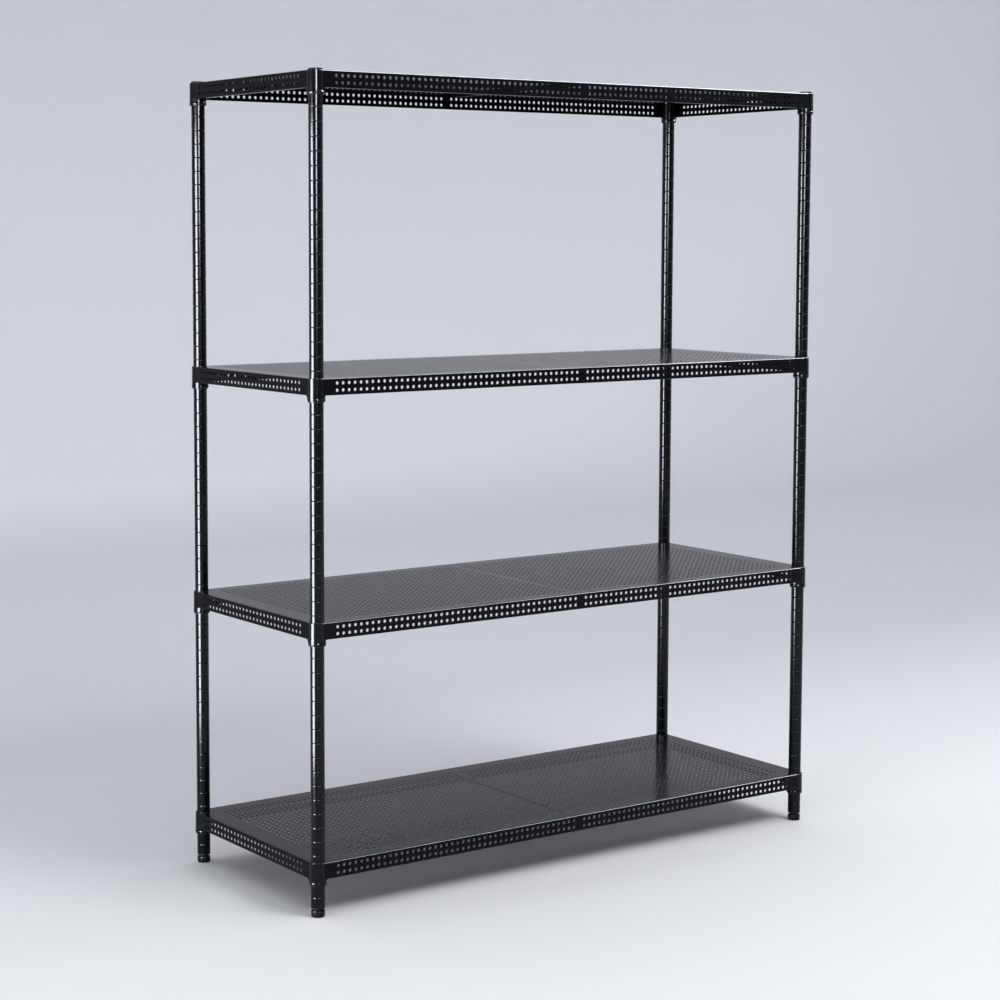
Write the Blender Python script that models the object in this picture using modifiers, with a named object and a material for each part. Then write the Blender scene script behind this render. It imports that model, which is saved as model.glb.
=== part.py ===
"""A four-tier rack: folded steel shelves wedged on split sleeves round four grooved posts.

Metres, +Z up. The origin is on the floor under the middle of the rack. X runs along the
shelves, Y from front to back.
"""

import math

import bmesh
import bpy
from mathutils import Matrix, Vector

# Overall size
RACK_LENGTH = 1.200
RACK_DEPTH = 0.450
RACK_HEIGHT = 1.500

# Grooves are an inch apart up each post, and a shelf can stand at any of them
GROOVE_PITCH = 0.0254
GROOVE_DEPTH = 0.0007
GROOVE_HALF_WIDTH = 0.0013
PITCHES_BETWEEN_TIERS = (21, 17, 17)
TIERS = ("top", "upper", "lower", "bottom")

# Posts
POST_RADIUS = 0.0127
POST_WALL = 0.0012
TURN_STEPS = 16
GAP = 0.0003

# Caps
CAP_HEAD = 0.0045
CAP_EDGE = 0.0012
CAP_WALL = 0.0015
CAP_PLUG = 0.014
CAP_STAND_OVER_DECK = 0.004

# Feet and the threaded inserts that they screw into
FOOT_RADIUS = 0.0125
FOOT_PAD = 0.0115
FOOT_CHAMFER = 0.0012
FOOT_NECK_RADIUS = 0.0085
STEM_RADIUS = 0.0049
STEM_TOP = 0.050
INSERT_BOTTOM = 0.0155
INSERT_FLANGE = 0.0015
INSERT_LENGTH = 0.022

# Split sleeves and the collars that wedge down on them; heights are from the deck's top
SLEEVE_INNER = POST_RADIUS + GAP
SLEEVE_OUTER_AT_DECK = 0.0138
SLEEVE_TOP = 0.001
SLEEVE_LIP = 0.0016
SLEEVE_LIP_RADIUS = 0.0153
BEAD_BELOW_DECK = 0.0121
BEAD_HALF_WIDTH = 0.0010
BEAD_HEIGHT = 0.00065
SPLIT_GAP = 0.0006
TAPER = 0.020
COLLAR_HEIGHT = 0.040
COLLAR_TOP_RADIUS = 0.0155
COLLAR_RADIUS = 0.0162
COLLAR_LIP_RADIUS = 0.0156
COLLAR_LIP = 0.006

# Shelves
SHEET = 0.0010
RIM_OFFSET = 0.0150
RIM_HEIGHT = 0.030
FOLD_RADIUS = 0.0020
HEM = 0.008
CORNER_STEPS = 4
FOLD_STEPS = 2
CORNER_CUT_RADIUS = 0.01505
WEB_THICKNESS = 0.0005
WEB_START = 0.005
WEB_LAP = 0.006
WEB_REACH = 0.0116
WEB_RADIUS = 0.0044
WEB_FOOT = 0.0068
WEB_DROP = 0.0056
WEB_STEPS = 4

# Shallow stiffening channel under the middle of each deck
BRACE_LENGTH = 0.420
BRACE_CHANNEL = 0.009
BRACE_FLANGE = 0.0045
BRACE_DEPTH = 0.006

CORNERS = {
    "front_left": (-1, -1),
    "front_right": (1, -1),
    "back_left": (-1, 1),
    "back_right": (1, 1),
}
POST_X = RACK_LENGTH / 2 - COLLAR_RADIUS
POST_Y = RACK_DEPTH / 2 - COLLAR_RADIUS
POST_TOP = RACK_HEIGHT - CAP_HEAD - GAP
POST_BOTTOM = INSERT_BOTTOM + INSERT_FLANGE + GAP
POST_BORE = POST_RADIUS - POST_WALL


def deck_heights():
    """Height of each deck's top, from the top tier down."""
    heights = [RACK_HEIGHT - CAP_STAND_OVER_DECK]
    for pitches in PITCHES_BETWEEN_TIERS:
        heights.append(heights[-1] - pitches * GROOVE_PITCH)
    return dict(zip(TIERS, heights))


def clear_scene():
    for item in list(bpy.data.objects):
        bpy.data.objects.remove(item, do_unlink=True)


def collection(name, hidden=False):
    made = bpy.data.collections.new(name)
    made.hide_render = hidden
    bpy.context.scene.collection.children.link(made)
    return made


def material(name, colour, roughness, metallic=0.0):
    made = bpy.data.materials.new(name)
    made.use_nodes = True
    shader = made.node_tree.nodes["Principled BSDF"]
    shader.inputs["Base Color"].default_value = (*colour, 1.0)
    shader.inputs["Roughness"].default_value = roughness
    shader.inputs["Metallic"].default_value = metallic
    return made


def new_object(name, data, group):
    made = bpy.data.objects.new(name, data)
    group.objects.link(made)
    return made


def finished_mesh(item, name, surface):
    """The object's evaluated mesh, with smooth round faces and its material; the object goes."""
    bpy.context.view_layer.update()
    graph = bpy.context.evaluated_depsgraph_get()
    mesh = bpy.data.meshes.new_from_object(item.evaluated_get(graph))
    shape = bmesh.new()
    shape.from_mesh(mesh)
    bmesh.ops.remove_doubles(shape, verts=shape.verts, dist=1e-6)
    shape.to_mesh(mesh)
    shape.free()
    mesh.name = name
    mesh.materials.clear()
    mesh.materials.append(surface)
    mesh.shade_smooth()
    mesh.set_sharp_from_angle(angle=math.radians(35))
    bpy.data.objects.remove(item, do_unlink=True)
    return mesh


def turned(name, profile, group, closed):
    """A turned solid about Z. The profile is (radius, height) points, down the outer side."""
    mesh = bpy.data.meshes.new(name)
    points = [(radius, 0.0, height) for radius, height in profile]
    edges = [(i, i + 1) for i in range(len(points) - 1)]
    if closed:
        edges.append((len(points) - 1, 0))
    mesh.from_pydata(points, edges, [])
    item = new_object(name, mesh, group)
    screw = item.modifiers.new("turn", "SCREW")
    screw.steps = TURN_STEPS
    screw.render_steps = TURN_STEPS
    screw.use_merge_vertices = True
    screw.merge_threshold = 0.00001
    return item


def plate(name, outline, thickness, group):
    """A flat plate with this (x, y) outline, centred on its own XY plane."""
    curve = bpy.data.curves.new(name, "CURVE")
    curve.dimensions = "2D"
    curve.fill_mode = "BOTH"
    curve.extrude = thickness / 2
    spline = curve.splines.new("POLY")
    spline.points.add(len(outline) - 1)
    for point, (x, y) in zip(spline.points, outline):
        point.co = (x, y, 0.0, 1.0)
    spline.use_cyclic_u = True
    return new_object(name, curve, group)


def boolean(item, operation, group):
    cut = item.modifiers.new(operation.lower(), "BOOLEAN")
    cut.operation = operation
    cut.solver = "EXACT"
    cut.operand_type = "COLLECTION"
    cut.collection = group


def groove_profile(height):
    """Points down one groove in a post's outer side."""
    flank = GROOVE_HALF_WIDTH - GROOVE_DEPTH
    return [
        (POST_RADIUS, height + GROOVE_HALF_WIDTH),
        (POST_RADIUS - GROOVE_DEPTH, height + flank),
        (POST_RADIUS - GROOVE_DEPTH, height - flank),
        (POST_RADIUS, height - GROOVE_HALF_WIDTH),
    ]


def post_mesh(decks, group, surface):
    """A tube with the one groove at each shelf that its sleeve's bead sits in."""
    profile = [(POST_BORE, POST_TOP), (POST_RADIUS, POST_TOP)]
    for deck in decks.values():
        profile += groove_profile(deck - BEAD_BELOW_DECK)
    profile += [(POST_RADIUS, POST_BOTTOM), (POST_BORE, POST_BOTTOM)]
    return finished_mesh(turned("post", profile, group, True), "post", surface)


def cap_mesh(group, surface):
    """A moulded cap: a low domed head on a hollow plug. Its origin is under the head."""
    plug = POST_BORE - GAP
    profile = [
        (0.0, CAP_HEAD),
        (POST_RADIUS - 2 * CAP_EDGE, CAP_HEAD),
        (POST_RADIUS - 0.6 * CAP_EDGE, CAP_HEAD - 0.4 * CAP_EDGE),
        (POST_RADIUS, CAP_HEAD - 1.5 * CAP_EDGE),
        (POST_RADIUS, 0.0),
        (plug, 0.0),
        (plug, -CAP_PLUG),
        (plug - CAP_WALL, -CAP_PLUG),
        (plug - CAP_WALL, 0.0),
        (0.0, 0.0),
    ]
    return finished_mesh(turned("cap", profile, group, False), "cap", surface)


def foot_mesh(group, surface):
    """A round pad, a neck that stops on the insert, and a screwed stem. Its origin is the floor."""
    neck_top = INSERT_BOTTOM - GAP
    profile = [
        (0.0, STEM_TOP),
        (STEM_RADIUS, STEM_TOP),
        (STEM_RADIUS, neck_top),
        (FOOT_NECK_RADIUS, neck_top),
        (FOOT_NECK_RADIUS, FOOT_PAD),
        (FOOT_RADIUS - FOOT_CHAMFER, FOOT_PAD),
        (FOOT_RADIUS, FOOT_PAD - FOOT_CHAMFER),
        (FOOT_RADIUS, FOOT_CHAMFER),
        (FOOT_RADIUS - FOOT_CHAMFER, 0.0),
        (0.0, 0.0),
    ]
    return finished_mesh(turned("foot", profile, group, False), "foot", surface)


def insert_mesh(group, surface):
    """A flanged sleeve in the post's foot, bored for the stem. Its origin is its bottom."""
    plug = POST_BORE - GAP
    bore = STEM_RADIUS + GAP
    profile = [
        (bore, INSERT_LENGTH),
        (plug, INSERT_LENGTH),
        (plug, INSERT_FLANGE),
        (POST_RADIUS, INSERT_FLANGE),
        (POST_RADIUS, 0.0),
        (bore, 0.0),
    ]
    return finished_mesh(turned("insert", profile, group, True), "insert", surface)


def sleeve_radius(height):
    return SLEEVE_OUTER_AT_DECK - TAPER * height


def sleeve_profile():
    """The sleeve's section: a taper outside, a bead inside and a lip under the collar."""
    lip_top = -COLLAR_HEIGHT - GAP
    lip_bottom = lip_top - SLEEVE_LIP
    bead = -BEAD_BELOW_DECK
    crest = BEAD_HALF_WIDTH - BEAD_HEIGHT
    return [
        (SLEEVE_INNER, SLEEVE_TOP),
        (sleeve_radius(SLEEVE_TOP), SLEEVE_TOP),
        (sleeve_radius(lip_top), lip_top),
        (SLEEVE_LIP_RADIUS, lip_top),
        (SLEEVE_LIP_RADIUS, lip_bottom),
        (SLEEVE_INNER, lip_bottom),
        (SLEEVE_INNER, bead - BEAD_HALF_WIDTH),
        (SLEEVE_INNER - BEAD_HEIGHT, bead - crest),
        (SLEEVE_INNER - BEAD_HEIGHT, bead + crest),
        (SLEEVE_INNER, bead + BEAD_HALF_WIDTH),
    ]


def half_space(name, side, group):
    """A block that holds everything on one side of the sleeve's split."""
    size = 0.1
    shape = bmesh.new()
    bmesh.ops.create_cube(shape, size=size)
    offset = Vector((0.0, side * (size + SPLIT_GAP) / 2, 0.0))
    bmesh.ops.translate(shape, verts=shape.verts, vec=offset)
    mesh = bpy.data.meshes.new(name)
    shape.to_mesh(mesh)
    shape.free()
    return as_cutter(new_object(name, mesh, group))


def as_cutter(item):
    item.hide_render = True
    item.display_type = "WIRE"
    return item


def sleeve_half_mesh(side, name, group, cutters, surface):
    sleeve = turned(name, sleeve_profile(), group, True)
    cut = sleeve.modifiers.new("half", "BOOLEAN")
    cut.operation = "INTERSECT"
    cut.solver = "EXACT"
    cut.object = half_space(name + "_side", side, cutters)
    return finished_mesh(sleeve, name, surface)


def collar_profile():
    """The collar's section: a taper inside that matches the sleeve, and a small bottom lip."""
    bore_top = sleeve_radius(0.0) + GAP
    bore_bottom = sleeve_radius(-COLLAR_HEIGHT) + GAP
    return [
        (bore_top, 0.0),
        (COLLAR_TOP_RADIUS, 0.0),
        (COLLAR_RADIUS, -COLLAR_HEIGHT + COLLAR_LIP),
        (COLLAR_LIP_RADIUS, -COLLAR_HEIGHT),
        (bore_bottom, -COLLAR_HEIGHT),
    ]


def web_outline():
    """The skirt between a rim's lower edge and its collar, as (along, up) points.

    Its edge is a hollow curve, then a slope down to the collar's foot.
    """
    hollow = -RIM_HEIGHT - WEB_RADIUS
    lap = -RIM_HEIGHT + WEB_LAP
    foot = -RIM_HEIGHT - WEB_DROP
    points = [(WEB_START, lap), (WEB_REACH, lap), (WEB_REACH, -RIM_HEIGHT)]
    for step in range(1, WEB_STEPS + 1):
        turn = math.pi / 2 * (1 + step / WEB_STEPS)
        along = WEB_REACH + WEB_RADIUS * math.cos(turn)
        points.append((along, hollow + WEB_RADIUS * math.sin(turn)))
    points += [(WEB_FOOT, foot), (WEB_START, foot)]
    return points


def add_web(name, corner, along_x, group):
    """One skirt plate, in the middle of its rim's sheet, standing beside the collar."""
    side_x, side_y = corner
    flat = plate(name, web_outline(), WEB_THICKNESS, group)
    middle = RIM_OFFSET - SHEET / 2
    if along_x:
        place = Vector((side_x * POST_X, side_y * (POST_Y + middle), 0.0))
        columns = (Vector((-side_x, 0, 0)), Vector((0, 0, 1)), Vector((0, side_x, 0)))
    else:
        place = Vector((side_x * (POST_X + middle), side_y * POST_Y, 0.0))
        columns = (Vector((0, -side_y, 0)), Vector((0, 0, 1)), Vector((-side_y, 0, 0)))
    turn = Matrix(columns).transposed().to_4x4()
    flat.matrix_world = Matrix.Translation(place) @ turn
    bpy.context.view_layer.update()
    graph = bpy.context.evaluated_depsgraph_get()
    mesh = bpy.data.meshes.new_from_object(flat.evaluated_get(graph))
    shape = bmesh.new()
    shape.from_mesh(mesh)
    bmesh.ops.remove_doubles(shape, verts=shape.verts, dist=1e-6)
    bmesh.ops.recalc_face_normals(shape, faces=shape.faces)
    shape.to_mesh(mesh)
    shape.free()
    solid = as_cutter(new_object(name + "_solid", mesh, group))
    solid.matrix_world = flat.matrix_world
    bpy.data.objects.remove(flat, do_unlink=True)


def tray_surface(group):
    """The folded sheet before the collars: a deck, four rims and the hem turned in below."""
    half = Vector((POST_X + RIM_OFFSET, POST_Y + RIM_OFFSET, 0.0))
    shape = bmesh.new()
    bmesh.ops.create_cube(shape, size=1.0)
    bmesh.ops.scale(shape, verts=shape.verts, vec=(2 * half.x, 2 * half.y, RIM_HEIGHT))
    bmesh.ops.translate(shape, verts=shape.verts, vec=(0, 0, -RIM_HEIGHT / 2))
    upright = [e for e in shape.edges if abs((e.verts[0].co - e.verts[1].co).z) > 1e-6]
    bmesh.ops.bevel(
        shape, geom=upright, offset=RIM_OFFSET, segments=CORNER_STEPS, profile=0.5, affect="EDGES"
    )
    bottom = [f for f in shape.faces if f.normal.z < -0.5]
    bmesh.ops.delete(shape, geom=bottom, context="FACES_ONLY")
    shape.normal_update()
    top_edges = [e for e in shape.edges if all(abs(v.co.z) < 1e-6 for v in e.verts)]
    bmesh.ops.bevel(
        shape, geom=top_edges, offset=FOLD_RADIUS, segments=FOLD_STEPS, profile=0.5, affect="EDGES"
    )
    rim_edges = [e for e in shape.edges if e.is_boundary]
    turned_in = bmesh.ops.extrude_edge_only(shape, edges=rim_edges)["geom"]
    for vertex in [g for g in turned_in if isinstance(g, bmesh.types.BMVert)]:
        vertex.co.x *= (half.x - HEM) / half.x
        vertex.co.y *= (half.y - HEM) / half.y
    bmesh.ops.recalc_face_normals(shape, faces=shape.faces)
    mesh = bpy.data.meshes.new("tray")
    shape.to_mesh(mesh)
    shape.free()
    return new_object("tray", mesh, group)


def add_corner_cut(name, corner, group):
    shape = bmesh.new()
    bmesh.ops.create_cone(
        shape,
        cap_ends=True,
        segments=TURN_STEPS,
        radius1=CORNER_CUT_RADIUS,
        radius2=CORNER_CUT_RADIUS,
        depth=4 * COLLAR_HEIGHT,
    )
    mesh = bpy.data.meshes.new(name)
    shape.to_mesh(mesh)
    shape.free()
    item = as_cutter(new_object(name, mesh, group))
    item.location = (corner[0] * POST_X, corner[1] * POST_Y, 0.0)


def add_collar(name, corner, group):
    item = as_cutter(turned(name, collar_profile(), group, True))
    item.location = (corner[0] * POST_X, corner[1] * POST_Y, 0.0)


def tray_mesh(group, surface):
    """One shelf: the folded sheet, opened at its corners and joined to four tapered collars."""
    cuts = collection("corner_cuts", hidden=True)
    joins = collection("corner_joins", hidden=True)
    for name, corner in CORNERS.items():
        add_corner_cut("cut_" + name, corner, cuts)
        add_collar("collar_" + name, corner, joins)
        add_web("web_x_" + name, corner, True, joins)
        add_web("web_y_" + name, corner, False, joins)
    tray = tray_surface(group)
    wall = tray.modifiers.new("sheet", "SOLIDIFY")
    wall.thickness = SHEET
    wall.offset = -1.0
    wall.use_even_offset = True
    boolean(tray, "DIFFERENCE", cuts)
    boolean(tray, "UNION", joins)
    return finished_mesh(tray, "tray", surface)


def brace_mesh(group, surface):
    """A shallow hat channel, open side up, from front to back. Its origin is its flange top."""
    half = BRACE_CHANNEL / 2
    outline = [
        (-half - BRACE_FLANGE, 0.0),
        (-half + SHEET, 0.0),
        (-half + SHEET, -BRACE_DEPTH + SHEET),
        (half - SHEET, -BRACE_DEPTH + SHEET),
        (half - SHEET, 0.0),
        (half + BRACE_FLANGE, 0.0),
        (half + BRACE_FLANGE, -SHEET),
        (half, -SHEET),
        (half, -BRACE_DEPTH),
        (-half, -BRACE_DEPTH),
        (-half, -SHEET),
        (-half - BRACE_FLANGE, -SHEET),
    ]
    return finished_mesh(plate("brace", outline, BRACE_LENGTH, group), "brace", surface)


def place(name, mesh, location, parent, group):
    item = new_object(name, mesh, group)
    item.location = location
    item.parent = parent
    return item


def empty(name, location, parent, group):
    item = new_object(name, None, group)
    item.empty_display_size = 0.05
    item.location = location
    item.parent = parent
    return item


def build():
    clear_scene()
    rack_group = collection("shelving_rack")
    cutters = collection("cutters", hidden=True)
    coat = material("black_powder_coat", (0.020, 0.021, 0.024), 0.38, 0.3)
    plastic = material("black_nylon", (0.018, 0.018, 0.020), 0.45)
    pad = material("black_foot_plastic", (0.015, 0.015, 0.016), 0.55)
    decks = deck_heights()

    post = post_mesh(decks, rack_group, coat)
    cap = cap_mesh(rack_group, plastic)
    foot = foot_mesh(rack_group, pad)
    insert = insert_mesh(rack_group, pad)
    tray = tray_mesh(rack_group, coat)
    brace = brace_mesh(rack_group, coat)
    halves = {
        "inner": sleeve_half_mesh(1, "sleeve_inner", rack_group, cutters, plastic),
        "outer": sleeve_half_mesh(-1, "sleeve_outer", rack_group, cutters, plastic),
    }

    rack = empty("rack", (0.0, 0.0, 0.0), None, rack_group)
    for corner, (side_x, side_y) in CORNERS.items():
        x = side_x * POST_X
        y = side_y * POST_Y
        place("post_" + corner, post, (x, y, 0.0), rack, rack_group)
        place("cap_" + corner, cap, (x, y, POST_TOP + GAP), rack, rack_group)
        place("foot_" + corner, foot, (x, y, 0.0), rack, rack_group)
        place("insert_" + corner, insert, (x, y, INSERT_BOTTOM), rack, rack_group)

    for tier, height in decks.items():
        level = empty("tier_" + tier, (0.0, 0.0, height), rack, rack_group)
        place("shelf_" + tier, tray, (0.0, 0.0, 0.0), level, rack_group)
        under = place("brace_" + tier, brace, (0.0, 0.0, -SHEET - GAP), level, rack_group)
        under.rotation_euler = (math.pi / 2, 0.0, 0.0)
        for corner, (side_x, side_y) in CORNERS.items():
            for half, mesh in halves.items():
                name = f"sleeve_{tier}_{corner}_{half}"
                item = place(name, mesh, (side_x * POST_X, side_y * POST_Y, 0.0), level, rack_group)
                item.rotation_euler = (0.0, 0.0, 0.0 if side_y < 0 else math.pi)
    bpy.context.view_layer.update()


build()
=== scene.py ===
"""Looks for a four-tier rack: perforated, folded steel shelves on split sleeves round grooved posts.

Metres, +Z up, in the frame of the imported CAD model. Places come from the CAD nodes' boxes;
the constants are the sizes of details that the CAD solids leave out or keep coarse.
"""

import math

import bmesh
import bpy
import numpy as np
from mathutils import Matrix, Vector


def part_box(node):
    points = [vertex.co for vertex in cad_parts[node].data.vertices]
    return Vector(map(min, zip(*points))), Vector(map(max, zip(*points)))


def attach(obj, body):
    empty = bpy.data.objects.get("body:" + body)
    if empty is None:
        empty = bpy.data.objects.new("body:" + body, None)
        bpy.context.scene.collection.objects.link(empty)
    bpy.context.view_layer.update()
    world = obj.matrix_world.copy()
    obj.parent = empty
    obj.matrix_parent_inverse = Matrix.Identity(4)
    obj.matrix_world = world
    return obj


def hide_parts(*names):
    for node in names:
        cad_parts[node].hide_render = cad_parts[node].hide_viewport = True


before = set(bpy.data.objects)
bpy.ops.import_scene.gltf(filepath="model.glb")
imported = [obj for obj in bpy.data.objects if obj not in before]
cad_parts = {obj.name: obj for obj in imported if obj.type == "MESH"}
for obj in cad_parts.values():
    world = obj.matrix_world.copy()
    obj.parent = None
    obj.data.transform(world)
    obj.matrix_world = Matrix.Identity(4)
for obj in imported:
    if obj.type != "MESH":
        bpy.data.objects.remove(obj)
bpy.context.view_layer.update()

CORNERS = {
    "front_left": (-1, -1),
    "front_right": (1, -1),
    "back_left": (-1, 1),
    "back_right": (1, 1),
}
TIERS = ("top", "upper", "lower", "bottom")

SMOOTH_BELOW = math.radians(35)
SAME_POINT = 1e-7
SAME_LENGTH = 1e-5
LEAST_DISTANCE = 1e-6

# Sheet of a shelf
SHEET = 0.0010
RIM_OFFSET = 0.0150
RIM_HEIGHT = 0.030
FOLD_RADIUS = 0.0020
FOLD_STEPS = 5
HEM = 0.008
HEM_RADIUS = 0.0015
HEM_STEPS = 4
CORNER_CUT = 0.01505
CORNER_INSET = 0.004
MARGIN_STEP = 0.0045

# Round holes on a square grid
HOLE_PITCH = 0.0125
HOLE_RADIUS = 0.0030
HOLE_SIDES = 12
COLUMNS = 44
ROWS = 15
END_COLUMNS = 14
FIXING_ROW = 10
RIM_ROWS = (0.00875, 0.02125)

# Collars, sleeves and posts
ROUND_STEPS = 64
COLLAR_HEIGHT = 0.040
COLLAR_TOP_RADIUS = 0.0155
COLLAR_WAIST_RADIUS = 0.0157
COLLAR_BEAD_RADIUS = 0.0162
COLLAR_BEAD = 0.0046
COLLAR_BEAD_STEPS = 8
EDGE_ROUND = 0.0004
EDGE_STEPS = 3
WEB_START = 0.0058
WEB_REACH = 0.0116
WEB_RADIUS = 0.0044
WEB_FOOT = 0.0068
WEB_DROP = 0.0056
WEB_STEPS = 12
SLEEVE_AT_DECK = 0.0138
SLEEVE_TAPER = 0.020
SLEEVE_TOP = 0.001
SLEEVE_LIP = 0.0016
SLEEVE_LIP_RADIUS = 0.0153
SLEEVE_EDGE = 0.0002
SPLIT_GAP = 0.0006
BEAD_BELOW_DECK = 0.0121
BEAD_HEIGHT = 0.00065
BEAD_HALF_WIDTH = 0.0010
GAP = 0.0003
POST_RADIUS = 0.0127
POST_WALL = 0.0012
POST_EDGE = 0.0003
GROOVE_PITCH = 0.0254
GROOVE_DEPTH = 0.0007
GROOVE_HALF_WIDTH = 0.0011
GROOVE_STEPS = 8
SHADE_EDGE = 0.0003
LOWEST_GROOVE = 0.0361
GROOVES = 58

# Caps, feet and inserts
CAP_HEAD = 0.0045
CAP_DOME = 0.0006
CAP_DOME_STEPS = 8
CAP_EDGE = 0.0013
CAP_EDGE_START = 80
CAP_EDGE_STEPS = 5
CAP_RIM = 0.0002
CAP_PLUG = 0.014
CAP_PLUG_INSET = 0.0006
CAP_PLUG_LEAD = 0.0008
CAP_WALL = 0.0015
FOOT_STEPS = 48
FOOT_RADIUS = 0.0125
FOOT_PAD = 0.0115
FOOT_EDGE = 0.0012
FOOT_EDGE_STEPS = 4
FOOT_FILLET = 0.0006
FOOT_NECK_RADIUS = 0.0085
STEM_RADIUS = 0.0049
STEM_TOP = 0.050
STEM_POINT_INSET = 0.0008
STEM_POINT_LENGTH = 0.001
THREAD_PITCH = 0.0015
THREAD_DEPTH = 0.0007
THREAD_LEVELS_PER_TURN = 6
INSERT_BOTTOM = 0.0155
INSERT_FLANGE = 0.0015
INSERT_LENGTH = 0.022
INSERT_EDGE = 0.0003

# Stiffening channel under each deck
BRACE_LENGTH = 0.420
BRACE_CHANNEL = 0.009
BRACE_FLANGE = 0.0045
BRACE_DEPTH = 0.006
BRACE_BEND = 0.0012
BRACE_BEND_STEPS = 4


def middle(node):
    low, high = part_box(node)
    return (low + high) / 2


post_at = {name: middle("post_" + name) for name in CORNERS}
POST_X = post_at["front_right"].x
POST_Y = post_at["back_right"].y
deck_at = {tier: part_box("shelf_" + tier)[1].z for tier in TIERS}
post_low, post_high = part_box("post_front_left")
HALF_LENGTH = POST_X + RIM_OFFSET
HALF_DEPTH = POST_Y + RIM_OFFSET


# ---------------------------------------------------------------- meshes


def finished(shape, mesh):
    """Puts a BMesh in a mesh and frees it; the mesh is shaded smooth except over sharp edges."""
    shape.to_mesh(mesh)
    shape.free()
    mesh.shade_smooth()
    mesh.set_sharp_from_angle(angle=SMOOTH_BELOW)
    return mesh


def mesh_from(name, points, faces):
    """A mesh of these points and faces, not shaded smooth yet."""
    mesh = bpy.data.meshes.new(name)
    mesh.from_pydata(np.asarray(points).tolist(), [], faces)
    mesh.validate()
    return mesh


def closed(mesh):
    """Merges a mesh's doubled points and turns its faces out."""
    shape = bmesh.new()
    shape.from_mesh(mesh)
    bmesh.ops.remove_doubles(shape, verts=shape.verts, dist=SAME_POINT)
    bmesh.ops.recalc_face_normals(shape, faces=shape.faces)
    return finished(shape, mesh)


def arc(centre, radius, start, end, steps):
    """Points of an arc, from one angle to the other in degrees."""
    found = []
    for step in range(steps + 1):
        angle = math.radians(start + (end - start) * step / steps)
        found.append((centre[0] + radius * math.cos(angle), centre[1] + radius * math.sin(angle)))
    return found


def turned(name, profile, steps=ROUND_STEPS, loop=True):
    """A solid turned about Z from (radius, height) points; a loop of them leaves a bore."""
    count = len(profile)
    points = []
    for step in range(steps):
        angle = 2 * math.pi * step / steps
        points += [(r * math.cos(angle), r * math.sin(angle), z) for r, z in profile]
    faces = []
    for step in range(steps):
        here = step * count
        there = (step + 1) % steps * count
        for i in range(count if loop else count - 1):
            j = (i + 1) % count
            faces.append((here + i, there + i, there + j, here + j))
    return closed(mesh_from(name, points, faces))


def extruded(name, outline, depth):
    """A prism of an (x, y) outline, from z = -depth / 2 to depth / 2."""
    shape = bmesh.new()
    ring = [shape.verts.new((x, y, -depth / 2)) for x, y in outline]
    base = shape.faces.new(ring)
    moved = bmesh.ops.extrude_face_region(shape, geom=[base])["geom"]
    top = [item for item in moved if isinstance(item, bmesh.types.BMVert)]
    bmesh.ops.translate(shape, verts=top, vec=(0, 0, depth))
    bmesh.ops.triangulate(shape, faces=[f for f in shape.faces if len(f.verts) > 4])
    bmesh.ops.recalc_face_normals(shape, faces=shape.faces)
    return finished(shape, bpy.data.meshes.new(name))


def joined(name, parts):
    """One mesh of several, each with its matrix."""
    shape = bmesh.new()
    for mesh, matrix in parts:
        copy = mesh.copy()
        copy.transform(matrix)
        if matrix.determinant() < 0:
            copy.flip_normals()
        shape.from_mesh(copy)
        bpy.data.meshes.remove(copy)
    return finished(shape, bpy.data.meshes.new(name))


# ---------------------------------------------------------------- the perforated tray


def folded_stations():
    """Across a folded edge, from the deck to the hem: (inset, height) of the outer and inner skin.

    The inset is measured inwards from the rim's outer face.
    """
    stations = []
    for step in range(FOLD_STEPS + 1):
        turn = math.pi / 2 * step / FOLD_STEPS
        skins = []
        for radius in (FOLD_RADIUS, FOLD_RADIUS - SHEET):
            skins += [FOLD_RADIUS - radius * math.sin(turn), radius * math.cos(turn) - FOLD_RADIUS]
        stations.append(tuple(skins))
    cell = HOLE_PITCH / 2
    first, last = RIM_ROWS
    for drop in (first - cell, first + cell, last + cell):
        stations.append((0.0, -drop, SHEET, -drop))
    for step in range(HEM_STEPS + 1):
        turn = math.pi / 2 * step / HEM_STEPS
        skins = []
        for radius in (HEM_RADIUS, HEM_RADIUS - SHEET):
            skins += [HEM_RADIUS - radius * math.cos(turn)]
            skins += [-RIM_HEIGHT + HEM_RADIUS - radius * math.sin(turn)]
        stations.append(tuple(skins))
    stations.append((HEM, -RIM_HEIGHT, HEM, -RIM_HEIGHT + SHEET))
    return stations


def lines(half, post, holes):
    """Stations along one axis: (outer place, outer height, inner place, inner height, is it flat).

    They are a hole's pitch apart over the holes, and closer in the margin, to go round a collar.
    """
    flat = [HOLE_PITCH * (i + 0.5) for i in range(holes + 1)]
    fold = half - FOLD_RADIUS
    start = post - CORNER_CUT
    if start - flat[-1] > HOLE_PITCH / 2:
        flat.append((start + flat[-1]) / 2)
    first = max(start, flat[-1] + MARGIN_STEP)
    flat += list(np.arange(first, fold - MARGIN_STEP / 2, MARGIN_STEP))
    one_side = [(place, 0.0, place, 0.0, True) for place in flat]
    for inset, height, inner_inset, inner_height in folded_stations():
        one_side.append((half - inset, height, half - inner_inset, inner_height, False))
    other_side = []
    for outer, height, inner, inner_height, flat_here in reversed(one_side):
        other_side.append((-outer, height, -inner, inner_height, flat_here))
    return other_side + one_side


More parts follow.
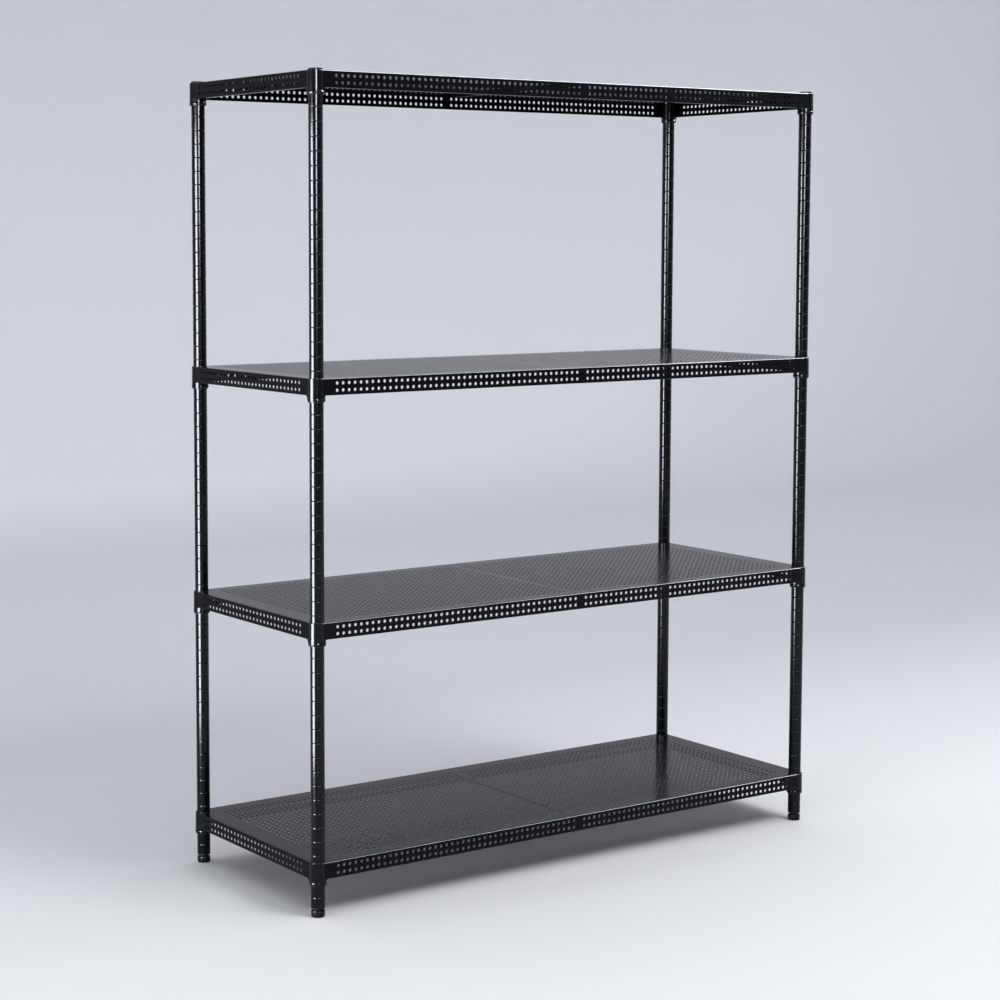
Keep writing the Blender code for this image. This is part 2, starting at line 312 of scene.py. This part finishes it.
def ring_of_hole(corners, centre, along, across, base):
    """Points of a hole's edge and the faces between it and its square cell.

    The corners are the cell's four point numbers, anticlockwise from the low one. The hole's
    points are numbered from base on, and each side of the cell has an odd number of its sides.
    """
    points = []
    for side in range(HOLE_SIDES):
        angle = 2 * math.pi * (side + HOLE_SIDES / 8) / HOLE_SIDES - math.pi
        points.append(centre + HOLE_RADIUS * (math.cos(angle) * along + math.sin(angle) * across))
    faces = []
    quarter = HOLE_SIDES // 4
    half = quarter // 2
    for k in range(4):
        a, b = corners[k], corners[(k + 1) % 4]
        edge = [base + (k * quarter + i) % HOLE_SIDES for i in range(quarter + 1)]
        for i in range(half):
            faces.append((a, edge[i + 1], edge[i]))
        faces.append((a, b, edge[half + 1], edge[half]))
        for i in range(quarter - half, quarter):
            faces.append((b, edge[i + 1], edge[i]))
    return points, faces


def snapped(point, flat):
    """Moves a point of the sheet that is inside a collar out to the collar's wall."""
    x, y, z = point
    dx = abs(x) - POST_X
    dy = abs(y) - POST_Y
    if math.hypot(dx, dy) >= CORNER_CUT:
        return point
    if flat:
        stretch = CORNER_CUT / max(math.hypot(dx, dy), LEAST_DISTANCE)
        dx *= stretch
        dy *= stretch
    elif dy > dx:
        dx = -math.sqrt(CORNER_CUT**2 - dy**2)
    else:
        dy = -math.sqrt(CORNER_CUT**2 - dx**2)
    return (math.copysign(POST_X + dx, x), math.copysign(POST_Y + dy, y), z)


def has_hole(centre, flat_x, flat_y):
    """Whether a cell of the grid is punched.

    The plain strip has two fixing holes only, and an end rim's rows stop short of its corners.
    """
    if abs(centre.x) < HOLE_PITCH / 2:
        return flat_x and flat_y and round(abs(centre.y) / HOLE_PITCH) == FIXING_ROW
    return flat_x or abs(centre.y) < HOLE_PITCH * (END_COLUMNS + 0.5)


def tray_points(across_x, across_y):
    """The sheet's outer and inner skin, and for each of their points whether a collar covers it."""
    outer = []
    inner = []
    covered = []
    for xo, zxo, xi, zxi, flat_x in across_x:
        for yo, zyo, yi, zyi, flat_y in across_y:
            flat = flat_x and flat_y
            low = -SHEET if flat else zxi + zyi
            outer.append(snapped((xo, yo, zxo + zyo), flat))
            inner.append(snapped((xi, yi, low), flat))
            covered.append(math.hypot(abs(xo) - POST_X, abs(yo) - POST_Y) < CORNER_CUT)
    return outer, inner, covered


def both_skins(name, outer, inner, faces):
    """A closed sheet of an outer skin's faces, the same on the inner skin, and walls between them."""
    count = len(outer)
    edges = [(a, b) for face in faces for a, b in zip(face, face[1:] + face[:1])]
    known = set(edges)
    walls = [(b, a, a + count, b + count) for a, b in edges if (b, a) not in known]
    under = [tuple(p + count for p in reversed(face)) for face in faces]
    mesh = mesh_from(name, outer + inner, faces + under + walls)
    shape = bmesh.new()
    shape.from_mesh(mesh)
    loose = [v for v in shape.verts if not v.link_faces]
    bmesh.ops.delete(shape, geom=loose, context="VERTS")
    return finished(shape, mesh)


def tray_mesh():
    """A shelf's sheet: deck, four rims and hems, with every hole; its origin is the deck's middle."""
    across_x = lines(HALF_LENGTH, POST_X, COLUMNS)
    across_y = lines(HALF_DEPTH, POST_Y, ROWS)
    outer, inner, covered = tray_points(across_x, across_y)
    ny = len(across_y)
    faces = []
    for i in range(len(across_x) - 1):
        for j in range(ny - 1):
            flat_x = across_x[i][4] or across_x[i + 1][4]
            flat_y = across_y[j][4] or across_y[j + 1][4]
            corners = [i * ny + j, (i + 1) * ny + j, (i + 1) * ny + j + 1, i * ny + j + 1]
            if not (flat_x or flat_y) or all(covered[c] for c in corners):
                continue
            cell = [Vector(outer[c]) for c in corners]
            low_left, low_right, _, high_left = cell
            centre = sum(cell, Vector()) / 4
            if min(abs(centre.x) - POST_X, abs(centre.y) - POST_Y) > -CORNER_INSET:
                continue
            along = low_right - low_left
            up = high_left - low_left
            square = max(abs(along.length - HOLE_PITCH), abs(up.length - HOLE_PITCH)) < SAME_LENGTH
            if not square or not has_hole(centre, flat_x, flat_y):
                faces.append(tuple(corners))
                continue
            base = len(outer)
            points, ring = ring_of_hole(corners, centre, along.normalized(), up.normalized(), base)
            inner_centre = sum((Vector(inner[c]) for c in corners), Vector()) / 4
            outer.extend(tuple(p) for p in points)
            inner.extend(tuple(p - centre + inner_centre) for p in points)
            faces.extend(ring)
    return both_skins("tray", outer, inner, faces)


# ---------------------------------------------------------------- collars and their skirts


def sleeve_radius(height):
    return SLEEVE_AT_DECK - SLEEVE_TAPER * height


def collar_profile():
    bore_top = sleeve_radius(0.0) + GAP
    bore_bottom = sleeve_radius(-COLLAR_HEIGHT) + GAP
    r = EDGE_ROUND
    profile = [(bore_top, 0.0)]
    profile += arc((COLLAR_TOP_RADIUS - r, -r), r, 90, 0, EDGE_STEPS)
    profile.append((COLLAR_TOP_RADIUS, -r - SHADE_EDGE))
    profile.append((COLLAR_WAIST_RADIUS, -COLLAR_HEIGHT + COLLAR_BEAD + SHADE_EDGE))
    for step in range(COLLAR_BEAD_STEPS + 1):
        share = step / COLLAR_BEAD_STEPS
        swell = (COLLAR_BEAD_RADIUS - COLLAR_WAIST_RADIUS) * math.sin(math.pi * share)
        profile.append((COLLAR_WAIST_RADIUS + swell, -COLLAR_HEIGHT + COLLAR_BEAD * (1 - share)))
    profile.append((bore_bottom, -COLLAR_HEIGHT))
    return profile


def web_outline():
    """The skirt between a rim's lower edge and its collar, as (along, up) points.

    Its edge is a hollow curve, then a slope down to the collar's foot.
    """
    lap = -RIM_HEIGHT + HEM_RADIUS
    foot = -RIM_HEIGHT - WEB_DROP
    points = [(WEB_START, lap), (WEB_REACH, lap)]
    points += arc((WEB_REACH, -RIM_HEIGHT - WEB_RADIUS), WEB_RADIUS, 90, 180, WEB_STEPS)
    points += [(WEB_FOOT, foot), (WEB_START, foot)]
    return points


def collars_mesh():
    """The four collars of a shelf, with the skirt plates beside them."""
    collar = turned("collar", collar_profile())
    web = extruded("web", web_outline(), SHEET)
    offset = RIM_OFFSET - SHEET / 2
    parts = []
    for side_x, side_y in CORNERS.values():
        centre = Vector((side_x * POST_X, side_y * POST_Y, 0.0))
        parts.append((collar, Matrix.Translation(centre)))
        plates = (
            (Vector((-side_x, 0, 0)), Vector((0, side_y, 0))),
            (Vector((0, -side_y, 0)), Vector((side_x, 0, 0))),
        )
        for along, out in plates:
            axes = Matrix((along, Vector((0, 0, 1)), out)).transposed().to_4x4()
            parts.append((web, Matrix.Translation(centre + offset * out) @ axes))
    return joined("collars", parts)


# ---------------------------------------------------------------- posts, sleeves, caps, feet


def post_mesh():
    """A tube with every groove; its origin is the floor on the post's axis."""
    bore = POST_RADIUS - POST_WALL
    profile = [(bore, post_high.z), (POST_RADIUS - POST_EDGE, post_high.z)]
    profile.append((POST_RADIUS, post_high.z - POST_EDGE))
    for k in reversed(range(GROOVES)):
        height = LOWEST_GROOVE + k * GROOVE_PITCH
        profile.append((POST_RADIUS, height + GROOVE_HALF_WIDTH + SHADE_EDGE))
        for step in range(GROOVE_STEPS + 1):
            share = 1 - 2 * step / GROOVE_STEPS
            depth = GROOVE_DEPTH * (1 + math.cos(math.pi * share)) / 2
            profile.append((POST_RADIUS - depth, height + GROOVE_HALF_WIDTH * share))
        profile.append((POST_RADIUS, height - GROOVE_HALF_WIDTH - SHADE_EDGE))
    profile += [(POST_RADIUS, post_low.z + POST_EDGE), (POST_RADIUS - POST_EDGE, post_low.z)]
    profile.append((bore, post_low.z))
    return turned("grooved_post", profile)


def sleeve_mesh(side):
    """One half of the split sleeve; its origin is the deck's height on the post's axis."""
    lip_top = -COLLAR_HEIGHT - GAP
    lip_bottom = lip_top - SLEEVE_LIP
    inner = POST_RADIUS + GAP
    bead = -BEAD_BELOW_DECK
    crest = BEAD_HALF_WIDTH - BEAD_HEIGHT
    r = SLEEVE_EDGE
    profile = [(inner, SLEEVE_TOP), (sleeve_radius(SLEEVE_TOP) - r, SLEEVE_TOP)]
    profile += [(sleeve_radius(SLEEVE_TOP), SLEEVE_TOP - r), (sleeve_radius(lip_top), lip_top)]
    profile += [(SLEEVE_LIP_RADIUS - r, lip_top), (SLEEVE_LIP_RADIUS, lip_top - r)]
    profile += [(SLEEVE_LIP_RADIUS, lip_bottom + r), (SLEEVE_LIP_RADIUS - r, lip_bottom)]
    profile += [(inner, lip_bottom), (inner, bead - BEAD_HALF_WIDTH)]
    profile += [(inner - BEAD_HEIGHT, bead - crest), (inner - BEAD_HEIGHT, bead + crest)]
    profile += [(inner, bead + BEAD_HALF_WIDTH)]
    count = len(profile)
    steps = ROUND_STEPS // 2
    shape = bmesh.new()
    rings = []
    for step in range(steps + 1):
        ring = []
        for radius, z in profile:
            margin = math.asin(SPLIT_GAP / 2 / radius)
            angle = margin + (math.pi - 2 * margin) * step / steps
            ring.append(shape.verts.new((radius * math.cos(angle), side * radius * math.sin(angle), z)))
        rings.append(ring)
    for a, b in zip(rings, rings[1:]):
        for i in range(count):
            j = (i + 1) % count
            shape.faces.new((a[i], b[i], b[j], a[j]))
    ends = [shape.faces.new(rings[0]), shape.faces.new(rings[-1])]
    bmesh.ops.triangulate(shape, faces=ends)
    bmesh.ops.recalc_face_normals(shape, faces=shape.faces)
    return finished(shape, bpy.data.meshes.new("sleeve_half"))


def cap_mesh():
    """A low domed head with a soft edge, on a hollow plug; its origin is under the head."""
    plug = POST_RADIUS - POST_WALL - GAP
    reach = POST_RADIUS - CAP_EDGE
    profile = []
    for step in range(CAP_DOME_STEPS + 1):
        radius = reach * step / CAP_DOME_STEPS
        profile.append((radius, CAP_HEAD - CAP_DOME * (radius / reach) ** 2))
    top = CAP_HEAD - CAP_DOME - CAP_EDGE
    profile += arc((reach, top), CAP_EDGE, CAP_EDGE_START, 0, CAP_EDGE_STEPS)
    profile += [(POST_RADIUS, CAP_RIM), (POST_RADIUS - CAP_RIM, 0.0), (plug, 0.0)]
    profile += [(plug, -CAP_PLUG + CAP_PLUG_LEAD), (plug - CAP_PLUG_INSET, -CAP_PLUG)]
    profile += [(plug - CAP_WALL, -CAP_PLUG), (plug - CAP_WALL, 0.0), (0.0, 0.0)]
    return turned("domed_cap", profile, loop=False)


def foot_mesh():
    """A round pad with a soft edge and a neck on a threaded stem; its origin is the floor."""
    neck_top = INSERT_BOTTOM - GAP
    steps = FOOT_STEPS
    edge = FOOT_EDGE
    lower = [(FOOT_NECK_RADIUS, neck_top), (FOOT_NECK_RADIUS, FOOT_PAD + FOOT_FILLET)]
    lower += [(FOOT_NECK_RADIUS + FOOT_FILLET, FOOT_PAD)]
    lower += arc((FOOT_RADIUS - edge, FOOT_PAD - edge), edge, 90, 0, FOOT_EDGE_STEPS)
    lower += arc((FOOT_RADIUS - edge, edge), edge, 0, -90, FOOT_EDGE_STEPS)
    lower += [(0.0, 0.0)]
    turns = (STEM_TOP - neck_top) / THREAD_PITCH
    levels = int(turns * THREAD_LEVELS_PER_TURN)
    points = []
    faces = []
    count = levels + 1 + len(lower)
    for step in range(steps):
        angle = 2 * math.pi * step / steps
        column = []
        for level in range(levels + 1):
            z = STEM_TOP - (STEM_TOP - neck_top) * level / levels
            phase = ((z / THREAD_PITCH) - step / steps) % 1.0
            depth = THREAD_DEPTH * (1 - abs(2 * phase - 1))
            taper = STEM_POINT_INSET * max(0.0, 1 - (STEM_TOP - z) / STEM_POINT_LENGTH)
            column.append((STEM_RADIUS - depth - taper, z))
        column += lower
        points += [(r * math.cos(angle), r * math.sin(angle), z) for r, z in column]
    for step in range(steps):
        here = step * count
        there = (step + 1) % steps * count
        for i in range(count - 1):
            faces.append((here + i, there + i, there + i + 1, here + i + 1))
    points.append((0.0, 0.0, STEM_TOP))
    for step in range(steps):
        faces.append((len(points) - 1, (step + 1) % steps * count, step * count))
    return closed(mesh_from("levelling_foot", points, faces))


def insert_mesh():
    """A flanged plug with a bore for the stem; its origin is the flange's underside."""
    plug = POST_RADIUS - POST_WALL - GAP
    bore = STEM_RADIUS + GAP
    r = INSERT_EDGE
    profile = [(bore + r, INSERT_LENGTH), (plug - r, INSERT_LENGTH), (plug, INSERT_LENGTH - r)]
    profile += [(plug, INSERT_FLANGE), (POST_RADIUS - r, INSERT_FLANGE)]
    profile += [(POST_RADIUS, INSERT_FLANGE - r), (POST_RADIUS, r), (POST_RADIUS - r, 0.0)]
    profile += [(bore + r, 0.0), (bore, r), (bore, INSERT_LENGTH - r)]
    return turned("threaded_insert", profile)


def brace_mesh():
    """A shallow hat channel with bent corners, along Y; its origin is its flange top."""
    half = BRACE_CHANNEL / 2
    bend = BRACE_BEND
    inner = bend - SHEET / 2
    steps = BRACE_BEND_STEPS
    outer_side = arc((half + bend, -SHEET - bend), bend, 90, 180, steps)
    outer_floor = arc((half - bend, -BRACE_DEPTH + bend), bend, 0, -90, steps)
    right_outer = [(half + BRACE_FLANGE, -SHEET)] + outer_side + outer_floor
    inner_floor = arc((half - SHEET - inner, -BRACE_DEPTH + SHEET + inner), inner, -90, 0, steps)
    inner_side = arc((half - SHEET + bend, -bend), bend, 180, 90, steps)
    right_inner = inner_floor + inner_side + [(half + BRACE_FLANGE, 0.0)]
    right = right_inner + right_outer
    left = [(-x, y) for x, y in reversed(right_outer)] + [(-x, y) for x, y in reversed(right_inner)]
    mesh = extruded("brace_channel", right + left, BRACE_LENGTH)
    mesh.transform(Matrix.Rotation(math.pi / 2, 4, "X"))
    return mesh


# ---------------------------------------------------------------- materials


class Nodes:
    """A material's node tree, with a short way to add and link nodes."""

    def __init__(self, name):
        self.material = bpy.data.materials.new(name)
        self.material.use_nodes = True
        self.tree = self.material.node_tree
        self.shader = self.tree.nodes["Principled BSDF"]
        self.place = self.add("ShaderNodeTexCoord").outputs["Object"]

    def add(self, kind, **values):
        """A node of this kind; each value goes to the input of its name, with _ for a space."""
        node = self.tree.nodes.new(kind)
        for key, value in values.items():
            node.inputs[key.replace("_", " ")].default_value = value
        return node

    def link(self, output, target):
        self.tree.links.new(output, target)

    def surface(self, **values):
        """Values of the shader's own inputs: a number is set, a node's output is linked."""
        for key, value in values.items():
            target = self.shader.inputs[key.replace("_", " ")]
            if isinstance(value, bpy.types.NodeSocket):
                self.link(value, target)
            else:
                target.default_value = value

    def noise(self, scale, detail=2.0, roughness=0.6):
        node = self.add("ShaderNodeTexNoise", Scale=scale, Detail=detail, Roughness=roughness)
        self.link(self.place, node.inputs["Vector"])
        return node.outputs["Fac"]

    def ramp(self, value, stops):
        node = self.add("ShaderNodeValToRGB")
        ends = node.color_ramp.elements
        while len(ends) < len(stops):
            ends.new(0.5)
        for end, (place, colour) in zip(ends, stops):
            end.position = place
            end.color = (*colour, 1.0)
        self.link(value, node.inputs["Fac"])
        return node.outputs["Color"]

    def span(self, value, low, high, start, end):
        """The value, moved from the range start to end into the range low to high."""
        node = self.add("ShaderNodeMapRange", From_Min=start, From_Max=end, To_Min=low, To_Max=high)
        self.link(value, node.inputs["Value"])
        return node.outputs["Result"]

    def bump(self, height, strength, distance):
        node = self.add("ShaderNodeBump", Strength=strength, Distance=distance)
        self.link(height, node.inputs["Height"])
        return node.outputs["Normal"]


COAT_DARK = (0.0032, 0.0029, 0.0048)
COAT_LIGHT = (0.0050, 0.0046, 0.0074)
NYLON_COLOURS = ((0.006, 0.006, 0.007), (0.009, 0.009, 0.010))
FOOT_COLOURS = ((0.003, 0.003, 0.004), (0.005, 0.005, 0.006))
INSERT_COLOURS = ((0.005, 0.005, 0.006), (0.008, 0.008, 0.009))
# Painted shade on the paper along Y: dark far in front, which gives the rack dark surroundings to
# mirror, white up to the object and darker behind it
PAPER_NEAR = -8.0
PAPER_FAR = 8.0
PAPER_SHADE_STOPS = (
    (0.0, (0.20, 0.20, 0.21)),
    (0.25, (0.83, 0.84, 0.85)),
    (0.485, (0.83, 0.84, 0.85)),
    (0.58, (0.60, 0.61, 0.63)),
    (0.75, (0.62, 0.63, 0.65)),
    (0.87, (0.79, 0.80, 0.82)),
)


def powder_coat(name, smoothest, roughest, specular):
    """Satin black powder coat: a fine orange peel and slight changes of shade and gloss."""
    made = Nodes(name)
    colour = made.ramp(made.noise(scale=9.0, detail=3.0), [(0.30, COAT_DARK), (0.72, COAT_LIGHT)])
    rough = made.span(made.noise(scale=420.0), smoothest, roughest, start=0.30, end=0.70)
    fine = made.noise(scale=900.0, detail=1.0, roughness=0.5)
    peel = made.bump(fine, strength=0.06, distance=0.00003)
    made.surface(Base_Color=colour, Roughness=rough, Normal=peel, IOR=1.45, Specular_IOR_Level=specular)
    return made.material


def moulded(name, colours, smoothest, roughest, grain_scale):
    """Moulded plastic with a fine eroded grain."""
    made = Nodes(name)
    dark, light = colours
    colour = made.ramp(made.noise(scale=60.0, detail=3.0), [(0.3, dark), (0.75, light)])
    rough = made.span(made.noise(scale=700.0), smoothest, roughest, start=0.30, end=0.70)
    grain = made.bump(made.noise(scale=grain_scale), strength=0.3, distance=0.00005)
    made.surface(Base_Color=colour, Roughness=rough, Normal=grain, IOR=1.5, Specular_IOR_Level=0.18)
    return made.material


def studio_paper():
    """White paper with painted shade: dark far in front of the object and darker behind it."""
    made = Nodes("studio_paper")
    parts = made.add("ShaderNodeSeparateXYZ")
    made.link(made.place, parts.inputs[0])
    depth = made.span(parts.outputs["Y"], low=0.0, high=1.0, start=PAPER_NEAR, end=PAPER_FAR)
    # The paper's colour along Y is painted shade
    colour = made.ramp(depth, PAPER_SHADE_STOPS)
    fibre = made.bump(made.noise(scale=300.0, roughness=0.5), strength=0.1, distance=0.0002)
    made.surface(Base_Color=colour, Roughness=0.8, Normal=fibre, Specular_IOR_Level=0.2)
    return made.material


coat = powder_coat("satin_black_powder_coat", smoothest=0.13, roughest=0.17, specular=0.20)
tray_coat = powder_coat("satin_black_sheet_coat", smoothest=0.17, roughest=0.21, specular=0.09)
nylon = moulded("black_nylon", NYLON_COLOURS, 0.30, 0.38, grain_scale=1600.0)
cap_nylon = moulded("black_cap_nylon", NYLON_COLOURS, 0.24, 0.32, grain_scale=1500.0)
foot_plastic = moulded("black_foot_plastic", FOOT_COLOURS, 0.22, 0.30, grain_scale=1200.0)
insert_nylon = moulded("black_insert_nylon", INSERT_COLOURS, 0.36, 0.46, grain_scale=1300.0)


# ---------------------------------------------------------------- pieces on the frame


# What the softboxes light: the side ones all but the sheets, which would mirror them when seen
# from the far side, and the top one the shelves
round_pieces = bpy.data.collections.new("round_pieces")
shelf_pieces = bpy.data.collections.new("shelf_pieces")


def add_piece(name, mesh, surface, at, body, slot, *nodes, turn=0.0):
    """One visible piece, placed on its CAD body in place of these CAD nodes."""
    piece = bpy.data.objects.new(name, mesh)
    bpy.context.scene.collection.objects.link(piece)
    if surface is not tray_coat:
        round_pieces.objects.link(piece)
    if not mesh.materials:
        mesh.materials.append(surface)
    piece.location = at
    piece.rotation_euler = (0.0, 0.0, turn)
    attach(piece, body)
    if nodes:
        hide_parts(*nodes)
    return piece


def add_shelves():
    tray = tray_mesh()
    collars = collars_mesh()
    brace = brace_mesh()
    for tier, height in deck_at.items():
        body = tier + "_shelf"
        at = (0.0, 0.0, height)
        name = "perforated_tray_" + tier
        sheet = add_piece(name, tray, tray_coat, at, body, "powder_coat", "shelf_" + tier)
        welded = add_piece("collars_" + tier, collars, coat, at, body, "powder_coat")
        shelf_pieces.objects.link(sheet)
        shelf_pieces.objects.link(welded)
        under = (0.0, 0.0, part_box("brace_" + tier)[1].z)
        name = "brace_channel_" + tier
        add_piece(name, brace, tray_coat, under, body, "powder_coat", "brace_" + tier)


def add_sleeves():
    halves = {"inner": sleeve_mesh(1), "outer": sleeve_mesh(-1)}
    for tier, height in deck_at.items():
        for corner, (_, side_y) in CORNERS.items():
            at = (post_at[corner].x, post_at[corner].y, height)
            turn = 0.0 if side_y < 0 else math.pi
            for half, mesh in halves.items():
                tail = f"{tier}_{corner}_{half}"
                name = "sleeve_half_" + tail
                add_piece(name, mesh, nylon, at, "frame", "sleeve_plastic", "sleeve_" + tail, turn=turn)


def add_posts():
    post = post_mesh()
    cap = cap_mesh()
    foot = foot_mesh()
    insert = insert_mesh()
    for corner, centre in post_at.items():
        floor = (centre.x, centre.y, 0.0)
        under_head = (centre.x, centre.y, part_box("cap_" + corner)[1].z - CAP_HEAD)
        insert_at = (centre.x, centre.y, INSERT_BOTTOM)
        name = "grooved_post_" + corner
        add_piece(name, post, coat, floor, "frame", "powder_coat", "post_" + corner)
        name = "domed_cap_" + corner
        add_piece(name, cap, cap_nylon, under_head, "frame", "cap_plastic", "cap_" + corner)
        name = "threaded_insert_" + corner
        add_piece(name, insert, insert_nylon, insert_at, "frame", "foot_plastic", "insert_" + corner)
        name = "levelling_foot_" + corner
        add_piece(name, foot, foot_plastic, floor, corner + "_foot", "foot_plastic", "foot_" + corner)


add_shelves()
add_sleeves()
add_posts()


# ---------------------------------------------------------------- studio

CAMERA_AT = Vector((-2.624, -3.474, 1.216))
CAMERA_YAW = 34.07
CAMERA_PITCH = -5.11
CAMERA_LENS = 79.4
CAMERA_SHIFT_X = 0.104
CAMERA_SHIFT_Y = -0.070
SENSOR_WIDTH = 36.0
BACKDROP_RADIUS = 9.0
BACKDROP_SWEEP = 2.5
BACKDROP_STEPS = 96
SWEEP_STEPS = 12
FLOOR_RINGS = (0.0, 2.0, 4.5)
SOFTBOX_TINT = (0.84, 0.91, 1.0)
SKY_COLOUR = (0.94, 0.96, 1.0, 1.0)
SKY_STRENGTH = 1.20


def add_camera():
    data = bpy.data.cameras.new("camera")
    data.lens = CAMERA_LENS
    data.sensor_width = SENSOR_WIDTH
    data.shift_x = CAMERA_SHIFT_X
    data.shift_y = CAMERA_SHIFT_Y
    camera = bpy.data.objects.new("camera", data)
    camera.location = CAMERA_AT
    camera.rotation_euler = (math.radians(90 + CAMERA_PITCH), 0.0, -math.radians(CAMERA_YAW))
    bpy.context.scene.collection.objects.link(camera)
    bpy.context.scene.camera = camera


def add_backdrop():
    """A floor that sweeps up all round into a wall as high as the floor's radius.

    The rings on the flat floor keep its shading even right up to the sweep.
    """
    flat = BACKDROP_RADIUS - BACKDROP_SWEEP
    profile = [(ring, 0.0) for ring in FLOOR_RINGS]
    profile += arc((flat, BACKDROP_SWEEP), BACKDROP_SWEEP, -90, 0, SWEEP_STEPS)
    profile += [(BACKDROP_RADIUS, BACKDROP_RADIUS)]
    mesh = turned("backdrop", profile, BACKDROP_STEPS, loop=False)
    mesh.flip_normals()
    mesh.materials.append(studio_paper())
    backdrop = bpy.data.objects.new("backdrop", mesh)
    bpy.context.scene.collection.objects.link(backdrop)


def add_area(name, at, target, size, power, lit=None):
    """A soft rectangular light; given a collection, it adds only highlights, and only to that."""
    data = bpy.data.lights.new(name, "AREA")
    data.shape = "RECTANGLE"
    data.size, data.size_y = size
    data.energy = power
    light = bpy.data.objects.new(name, data)
    light.location = at
    direction = Vector(target) - Vector(at)
    light.rotation_euler = direction.to_track_quat("-Z", "Y").to_euler()
    if lit:
        data.color = SOFTBOX_TINT
        light.light_linking.receiver_collection = lit
        light.visible_diffuse = False
    bpy.context.scene.collection.objects.link(light)
    light.visible_camera = False


def add_world():
    world = bpy.data.worlds.new("studio")
    world.use_nodes = True
    shade = world.node_tree.nodes["Background"]
    shade.inputs["Color"].default_value = SKY_COLOUR
    shade.inputs["Strength"].default_value = SKY_STRENGTH
    bpy.context.scene.world = world


add_camera()
add_backdrop()
add_world()
add_area("overhead", at=(1.1, -3.0, 4.3), target=(0.0, -0.2, 0.0), size=(2.2, 2.2), power=108.0)
add_area(
    "front_softbox",
    at=(-2.08, -4.34, 2.15),
    target=(-0.1, -0.2, 1.2),
    size=(1.1, 1.8),
    power=480.0,
    lit=round_pieces,
)
add_area(
    "left_softbox",
    at=(-1.61, -0.11, 0.74),
    target=(0.0, -0.11, 0.74),
    size=(0.62, 1.42),
    power=205.0,
    lit=round_pieces,
)
add_area(
    "top_softbox",
    at=(3.6, -0.9, 4.8),
    target=(0.0, -0.2, 0.8),
    size=(3.2, 5.0),
    power=6500.0,
    lit=shelf_pieces,
)
bpy.context.scene.view_settings.view_transform = "Standard"
bpy.context.scene.view_settings.look = "None"

bpy.context.view_layer.update()
